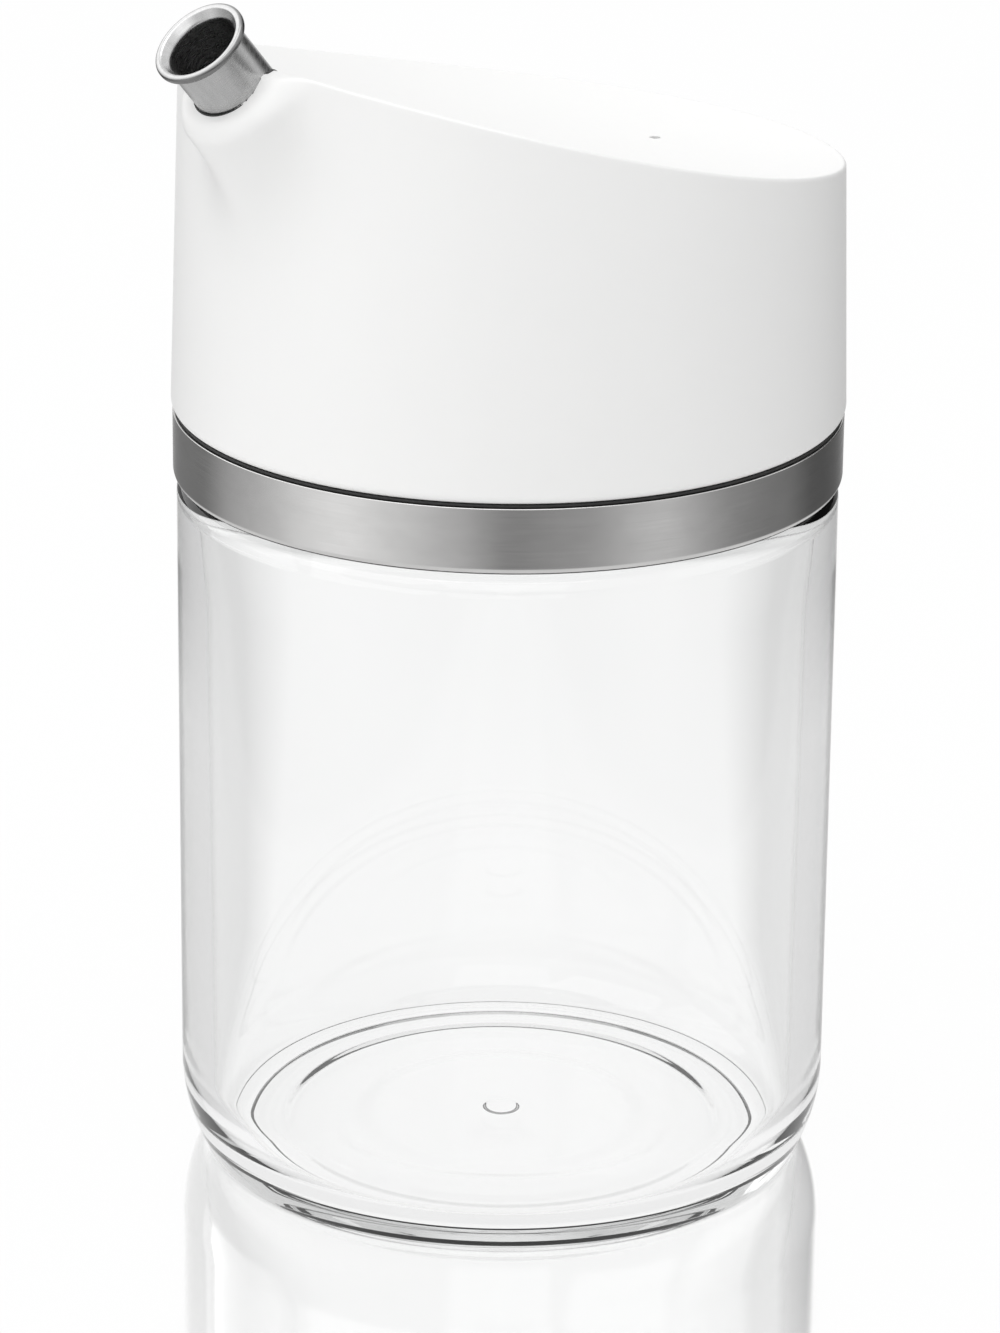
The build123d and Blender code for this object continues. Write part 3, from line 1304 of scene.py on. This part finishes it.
    def sleeve(self, outline: np.ndarray, below: np.ndarray, segments: int = 160) -> Surface:
        """Turns an outline of (r, s) round the spout's axis and trims its top to the dish.

        Args:
            outline: Points as (r, s).
            below: How far under the dish each point of the outline stays.
            segments: Points in each circle.

        Returns:
            The trimmed surface, in its place.
        """
        turned = lathe(outline, segments)
        top = self.reach(outline[:, 0][:, None], circle(segments)[None, :], below[:, None])
        points = turned.points.reshape(len(outline), segments, 3)
        points[..., 2] = np.minimum(points[..., 2], top)
        return self.spout.place(Surface(points.reshape(-1, 3), turned.faces))

    def shell(
        self,
        foot: np.ndarray,
        wall: Callable[[np.ndarray, np.ndarray], np.ndarray],
        find_rim: Callable[[np.ndarray], np.ndarray],
        rim_round: float,
        below: float,
        rows: tuple[np.ndarray, int, np.ndarray],
    ) -> Surface:
        """One side of the lid as a grid of rings: foot, wall, rounded rim and dished top.

        A ring's points are x = -r cos a and y = -r sin a. The angles are close together at the
        spout and again at the air hole.

        Args:
            foot: Outline of the foot as (r, z), up to where the wall begins.
            wall: Radius of the wall by angle and height.
            find_rim: The crease between wall and top, by angle.
            rim_round: How far from the crease its round begins.
            below: How far under the dished top this side lies.
            rows: The wall's rings as shares of its height, the number of rings over the round, and
                the top's rings as shares of its radius.

        Returns:
            The surface, facing outwards.
        """
        half = spaced((0.0, 10.0, 36.0, 176.5, 180.0), (50, 40, 76, 9))
        angle = np.radians(np.concatenate([half, -half[-2:0:-1]]))
        heights, turn_rows, radii = rows
        crease = find_rim(angle)
        rings = list(foot[:, :, None] * np.ones(angle.shape))
        low = foot[-1][1]
        for share in heights:
            z = low + (crease[1] - rim_round - low) * share
            rings.append(np.stack([wall(angle, z), z]))
        inner_r = crease[0] - rim_round
        rings.extend(bend(rings[-1], crease, self.on_dish(inner_r, angle, below), turn_rows)[1:])
        rings.extend(self.on_dish(inner_r * share, angle, below) for share in radii)
        r, z = np.stack(rings, axis=1)
        x, y = polar(r, angle)
        faces = grid_faces(len(rings), len(angle), Closing.OPEN, Closing.RING)
        return Surface(np.stack([-x, -y, z], axis=-1).reshape(-1, 3), faces)

    def outer_surface(self) -> Surface:
        """Foot, wall with boss, rounded rim and dished top.

        Returns:
            The surface, with more rings where the air hole and the boss are.
        """
        foot = rounded_outline(
            [
                (self.socket_r, self.foot_z, 0.0),
                (self.foot_r, self.foot_z, self.foot_round),
                (self.foot_r - self.taper * self.foot_h, self.foot_z + self.foot_h, 0.0),
            ],
            closed=False,
            steps=12,
        )
        heights = spaced((0.0, 0.45, 1.0), (17, 95))[1:]
        radii = spaced((1.0, 0.72, 0.63, 0.57, 0.0), (39, 5, 13, 11))[1:]
        rows = (heights, 8, radii)
        return self.shell(foot, self.skin_radius, self.rim, self.rim_round, 0.0, rows)

    def inner_surface(self) -> Surface:
        """Socket, tapered inner wall and the ceiling under the dished top.

        Returns:
            The surface, facing inwards.
        """
        top = self.socket_top_z
        narrow_r = float(self.wall_radius(top)) - self.wall
        socket = rounded_outline(
            [
                (self.socket_r, self.foot_z, 0.0),
                (self.socket_r, top, 0.05),
                (narrow_r, top, 0.05),
                (narrow_r, top + 1.0, 0.0),
            ],
            closed=False,
        )
        heights = spaced((0.0, 1.0), (9,))[1:]
        radii = spaced((1.0, 0.65, 0.57, 0.0), (11, 7, 6))[1:]
        rows = (heights, 6, radii)
        ways = (self.inner_radius, self.inner_rim)
        return self.shell(socket, *ways, self.inside_round, self.top_wall, rows).turned_over()

    def holes_cut(self, surface: Surface, low_s: float) -> Surface:
        """Leaves out the faces where the spout and the air hole pass through.

        Args:
            surface: A side of the shell.
            low_s: How far down the spout's axis its hole begins.

        Returns:
            The surface with its holes, a little smaller than what fills them.
        """
        x, y, z = surface.middles().T
        s, away = self.spout.along_across(-x, y, z)
        spout_hole = (away < self.bore_r - self.hole_margin) & (s > low_s)
        vent = (np.hypot(-x - self.vent_u, y) < self.vent_r) & (z > self.vent_over_z)
        return surface.without(spout_hole | vent)

    def core_surface(self) -> Surface:
        """The rod of plastic round the tube, inside the lid, with the bore down its middle.

        Returns:
            The surface; its bore ends just under the dish and its outside within the top.
        """
        outline = rounded_outline(
            [
                (self.bore_r, -0.1, 0.05),
                (self.bore_r, -self.core_in, 0.3),
                (self.core_r, -self.core_in, 0.6),
                (self.core_r, -1.2, 0.05),
            ]
        )
        at_bore = outline[:, 0] < self.bore_r + self.hole_margin
        return self.sleeve(outline, np.where(at_bore, 0.05, 0.5 * self.top_wall))

    def vent_surface(self) -> Surface:
        """The air hole's wall, down through the top.

        Returns:
            The surface.
        """
        angle = circle(24)
        x = -self.vent_u + self.vent_r * np.cos(angle)
        y = self.vent_r * np.sin(angle)
        top = self.dish(-x, y)
        rings = [np.stack([x, y, top - depth], axis=1) for depth in (0.0, self.top_wall)]
        return Surface(np.vstack(rings), grid_faces(2, len(angle), Closing.OPEN, Closing.RING))

    def build(self, shop: Workshop) -> None:
        """Makes the shell.

        Args:
            shop: The workshop that makes and dresses it.
        """
        outer = self.holes_cut(self.outer_surface(), self.outer_hole_s)
        inner = self.holes_cut(self.inner_surface(), self.inner_hole_s)
        whole = outer.joined(inner).joined(self.core_surface()).joined(self.vent_surface())
        shop.add("lid_cover", whole, "lid", WHITE_PLASTIC, "lid_shell", "white_plastic")


@dataclass
class Spout:
    """The steel tube with its flared lip, and the dark sleeve round its foot."""

    lid: LidShell = field(default_factory=LidShell)
    tube_r: float = 4.6
    bore_r: float = 4.1
    out: float = 7.2
    inside: float = 14.0
    stop_r: float = 5.3
    stop_t: float = 0.6
    lip_r: float = 5.6
    lip_t: float = 0.9
    lip_neck: float = 0.15
    flare_r: float = 0.75
    flare_in: float = 1.0
    seal_r: float = 4.86
    seal_gap: float = 0.01
    seal_proud: float = 0.12

    def tube_outline(self) -> np.ndarray:
        """Plain tube, a stop at its inner end, and a lip that flares out and rolls over.

        Returns:
            Points as an array of (r, s).
        """
        return rounded_outline(
            [
                (self.bore_r, -self.inside - self.stop_t, 0.15),
                (self.stop_r, -self.inside - self.stop_t, 0.2),
                (self.stop_r, -self.inside, 0.2),
                (self.tube_r, -self.inside, 0.05),
                (self.tube_r, self.out - self.lip_t - self.lip_neck, 0.45),
                (self.lip_r, self.out - self.lip_t, 0.4),
                (self.lip_r, self.out, 0.4),
                (self.bore_r + self.flare_r, self.out, 0.4),
                (self.bore_r, self.out - self.flare_in, 0.9),
            ],
            steps=9,
        )

    def build(self, shop: Workshop) -> None:
        """Makes the tube and its sleeve.

        Args:
            shop: The workshop that makes and dresses them.
        """
        tube = self.lid.spout.place(lathe(self.tube_outline(), 192))
        radii = (self.tube_r + self.seal_gap, self.seal_r)
        outline = ring_outline(radii, (-self.inside, self.seal_proud), (0.05, 0.1, 0.15, 0.1))
        sleeve = self.lid.sleeve(outline, np.full(len(outline), -self.seal_proud))
        shop.add("spout_pipe", tube, "lid", SPOUT_STEEL, "spout_tube", "spout_steel")
        shop.add("spout_sleeve", sleeve, "lid", BLACK_RUBBER, "spout_seal", "black_rubber")


# Studio


@dataclass(frozen=True)
class SideShade:
    """Tone seen through the glass: white behind the jar, greyer out at the sides.

    With q the reach behind the jar and w the reach sideways, the tone falls from 1 to the side's
    tone as (|w| - half) / max(q, near) crosses the span.
    """

    half: float
    near: float
    span: Pair
    side_tone: float = 0.75

    def build(self, tree: Tree, vector: Socket) -> Socket:
        """Builds the nodes.

        Args:
            tree: The tree to build in.
            vector: The place on the floor, or the direction into the room.

        Returns:
            The tone.
        """
        aside = measure(tree, "DOT_PRODUCT", vector, compass(CAMERA_AZIMUTH + 90.0))
        behind = measure(tree, "DOT_PRODUCT", vector, compass(CAMERA_AZIMUTH + 180.0))
        past = maths(tree, "SUBTRACT", maths(tree, "ABSOLUTE", aside), self.half)
        slope = maths(tree, "DIVIDE", past, maths(tree, "MAXIMUM", behind, self.near))
        return fade(tree, slope, self.span, (1.0, self.side_tone))


@dataclass
class Studio:
    """Camera, floor, world and lamps.

    A lamp is its name, azimuth, elevation, distance in metres and power in watts.
    """

    room: Tree
    lens: float = 153.0
    sensor: float = 36.0
    distance: float = 683.3
    elevation: float = 19.99
    roll: float = 0.6
    target_z: float = 60.0
    shift: Pair = (-0.0043, 0.0037)
    floor_half: float = 4.0
    floor_tone: float = 0.86
    floor_matt: float = 0.5
    floor_share: float = 0.03
    floor_mirror: Pair = (0.85, 0.1)
    mirror_reach: Pair = (0.055, 0.15)
    mirror_rough: float = 0.06
    near_tone: float = 0.85
    near_reach: Pair = (0.17, 0.245)
    floor_shade: SideShade = SideShade(half=0.035, near=0.06, span=(0.07, 0.2))
    world_shade: SideShade = SideShade(half=0.0, near=0.05, span=(0.1, 0.25))
    world_level: float = 0.64
    flag_at: Pair = (143.0, 12.0)
    flag_edge: Pair = (0.9, 0.96)
    flag_tone: float = 0.03
    lamp_side: float = 0.9
    lamp_target: float = 0.07
    lamps: tuple[tuple[str, float, float, float, float], ...] = (
        ("left", -95.0, 40.0, 1.1, 2.2),
        ("top", -42.0, 80.0, 1.1, 4.3),
        ("behind_left", -150.0, 30.0, 1.1, 1.9),
        ("front", -42.0, 30.0, 1.3, 1.7),
    )

    @staticmethod
    def hang(
        data: bpy.types.ID, direction: Vec3, distance: float, target: float, roll: float = 0.0
    ) -> bpy.types.Object:
        """Hangs a camera or a lamp so that it faces a place on the jar's axis.

        Args:
            data: The camera's or lamp's data.
            direction: The way to it from that place.
            distance: From that place, in metres.
            target: The place's height, in metres.
            roll: Turn about its own line of sight, in degrees.

        Returns:
            The new object.
        """
        thing = bpy.data.objects.new(data.name, data)
        x, y, z = (part * distance for part in direction)
        thing.location = (x, y, z + target)
        look = mathutils.Vector(direction).to_track_quat("Z", "Y")
        thing.rotation_mode = "QUATERNION"
        spin = mathutils.Quaternion((0.0, 0.0, 1.0), math.radians(roll))
        thing.rotation_quaternion = look @ spin
        bpy.context.scene.collection.objects.link(thing)
        return thing

    def camera(self) -> None:
        """Sets the camera at the photograph's angle, looking at a point on the jar's axis."""
        data = bpy.data.cameras.new("camera")
        data.lens = self.lens
        data.sensor_width = self.sensor
        data.shift_x, data.shift_y = self.shift
        direction = compass(CAMERA_AZIMUTH, self.elevation)
        eye = self.hang(data, direction, self.distance * MM, self.target_z * MM, self.roll)
        bpy.context.scene.camera = eye

    def light(self) -> None:
        """Hangs the lamps, square and soft."""
        for name, azimuth, elevation, distance, power in self.lamps:
            data = bpy.data.lights.new(name, "AREA")
            data.shape = "SQUARE"
            data.size = self.lamp_side
            data.energy = power
            self.hang(data, compass(azimuth, elevation), distance, self.lamp_target)

    def floor_glow(self, tree: Tree, path: bpy.types.NodeOutputs, spot: Socket) -> Socket:
        """The floor's own light: white to the camera, a room to gloss, shaded through glass.

        Args:
            tree: The floor's tree.
            path: The Light Path node's outputs.
            spot: The place on the floor.

        Returns:
            The strength.
        """
        away = measure(tree, "LENGTH", spot)
        far = add_group(tree, self.room, {"Vector": spot}).outputs["Tone"]
        room = pick(tree, fade(tree, away, self.near_reach), self.near_tone, far)
        tone = pick(tree, path["Is Glossy Ray"], 1.0, room)
        return pick(tree, path["Is Transmission Ray"], tone, self.floor_shade.build(tree, spot))

    def floor(self) -> None:
        """A wide pale floor that shows white, with a soft reflection and a faint shadow.

        Camera, glossy and transmission rays see the glow, with the mirror over it for the camera,
        and a small share of the lit floor, which carries the shadow. Other rays see the lit floor.
        """
        mesh = bpy.data.meshes.new("floor")
        half = self.floor_half
        corners = [(-half, -half, 0.0), (half, -half, 0.0), (half, half, 0.0), (-half, half, 0.0)]
        mesh.from_pydata(corners, [], [(0, 1, 2, 3)])
        floor = bpy.data.objects.new("floor", mesh)
        bpy.context.scene.collection.objects.link(floor)
        material = bpy.data.materials.new("pale_floor")
        material.use_nodes = True
        tree = material.node_tree
        path = tree.nodes.new("ShaderNodeLightPath").outputs
        spot = tree.nodes.new("ShaderNodeTexCoord").outputs["Object"]
        tone = (self.floor_tone, self.floor_tone, self.floor_tone, 1.0)
        lit = tree.nodes["Principled BSDF"]
        fill(tree, lit, {"Base Color": tone, "Roughness": self.floor_matt})
        glow = add_node(tree, "Emission", {"Strength": self.floor_glow(tree, path, spot)})
        mirror = add_node(tree, "BsdfGlossy", {"Color": WHITE, "Roughness": self.mirror_rough})
        clear = fade(tree, measure(tree, "LENGTH", spot), self.mirror_reach, self.floor_mirror)
        shown = {
            "Fac": maths(tree, "MULTIPLY", path["Is Camera Ray"], clear),
            1: glow.outputs["Emission"],
            2: mirror.outputs["BSDF"],
        }
        seen = maths(tree, "MAXIMUM", path["Is Camera Ray"], path["Is Glossy Ray"])
        seen = maths(tree, "MAXIMUM", seen, path["Is Transmission Ray"])
        whole = {
            "Fac": maths(tree, "MULTIPLY", seen, 1.0 - self.floor_share),
            1: lit.outputs["BSDF"],
            2: add_node(tree, "MixShader", shown).outputs["Shader"],
        }
        surface = add_node(tree, "MixShader", whole).outputs["Shader"]
        fill(tree, tree.nodes["Material Output"], {"Surface": surface})
        mesh.materials.append(material)

    def world(self) -> None:
        """White to the camera, an even grey to matt surfaces, shaded at the sides through glass.

        To gloss it is white too, apart from one small dark card that gives the spout a dark edge.
        """
        world = bpy.data.worlds.new("studio")
        bpy.context.scene.world = world
        world.use_nodes = True
        tree = world.node_tree
        path = tree.nodes.new("ShaderNodeLightPath").outputs
        direction = tree.nodes.new("ShaderNodeTexCoord").outputs["Generated"]
        flag_azimuth, flag_elevation = self.flag_at
        flag = compass(CAMERA_AZIMUTH + flag_azimuth, flag_elevation)
        aside = measure(tree, "DOT_PRODUCT", direction, flag)
        gloss = fade(tree, aside, self.flag_edge, (1.0, self.flag_tone))
        through = self.world_shade.build(tree, direction)
        level = pick(tree, path["Is Camera Ray"], self.world_level, 1.0)
        level = pick(tree, path["Is Glossy Ray"], level, gloss)
        level = pick(tree, path["Is Transmission Ray"], level, through)
        fill(tree, tree.nodes["Background"], {"Color": WHITE, "Strength": level})

    def build(self) -> None:
        """Sets up the whole studio."""
        bpy.context.scene.view_settings.view_transform = "Standard"
        self.camera()
        self.floor()
        self.world()
        self.light()


def main() -> None:
    """Builds the dispenser and its studio."""
    logging.basicConfig(level=logging.INFO, format="%(name)s: %(message)s")
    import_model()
    groups = Groups()
    shop = Workshop(groups)
    for part in (Jar(), MouthSeal(), Collar(), LidShell(), Spout()):
        part.build(shop)
        LOG.info("built %s", type(part).__name__)
    Studio(groups.room).build()


if __name__ == "__main__":
    main()
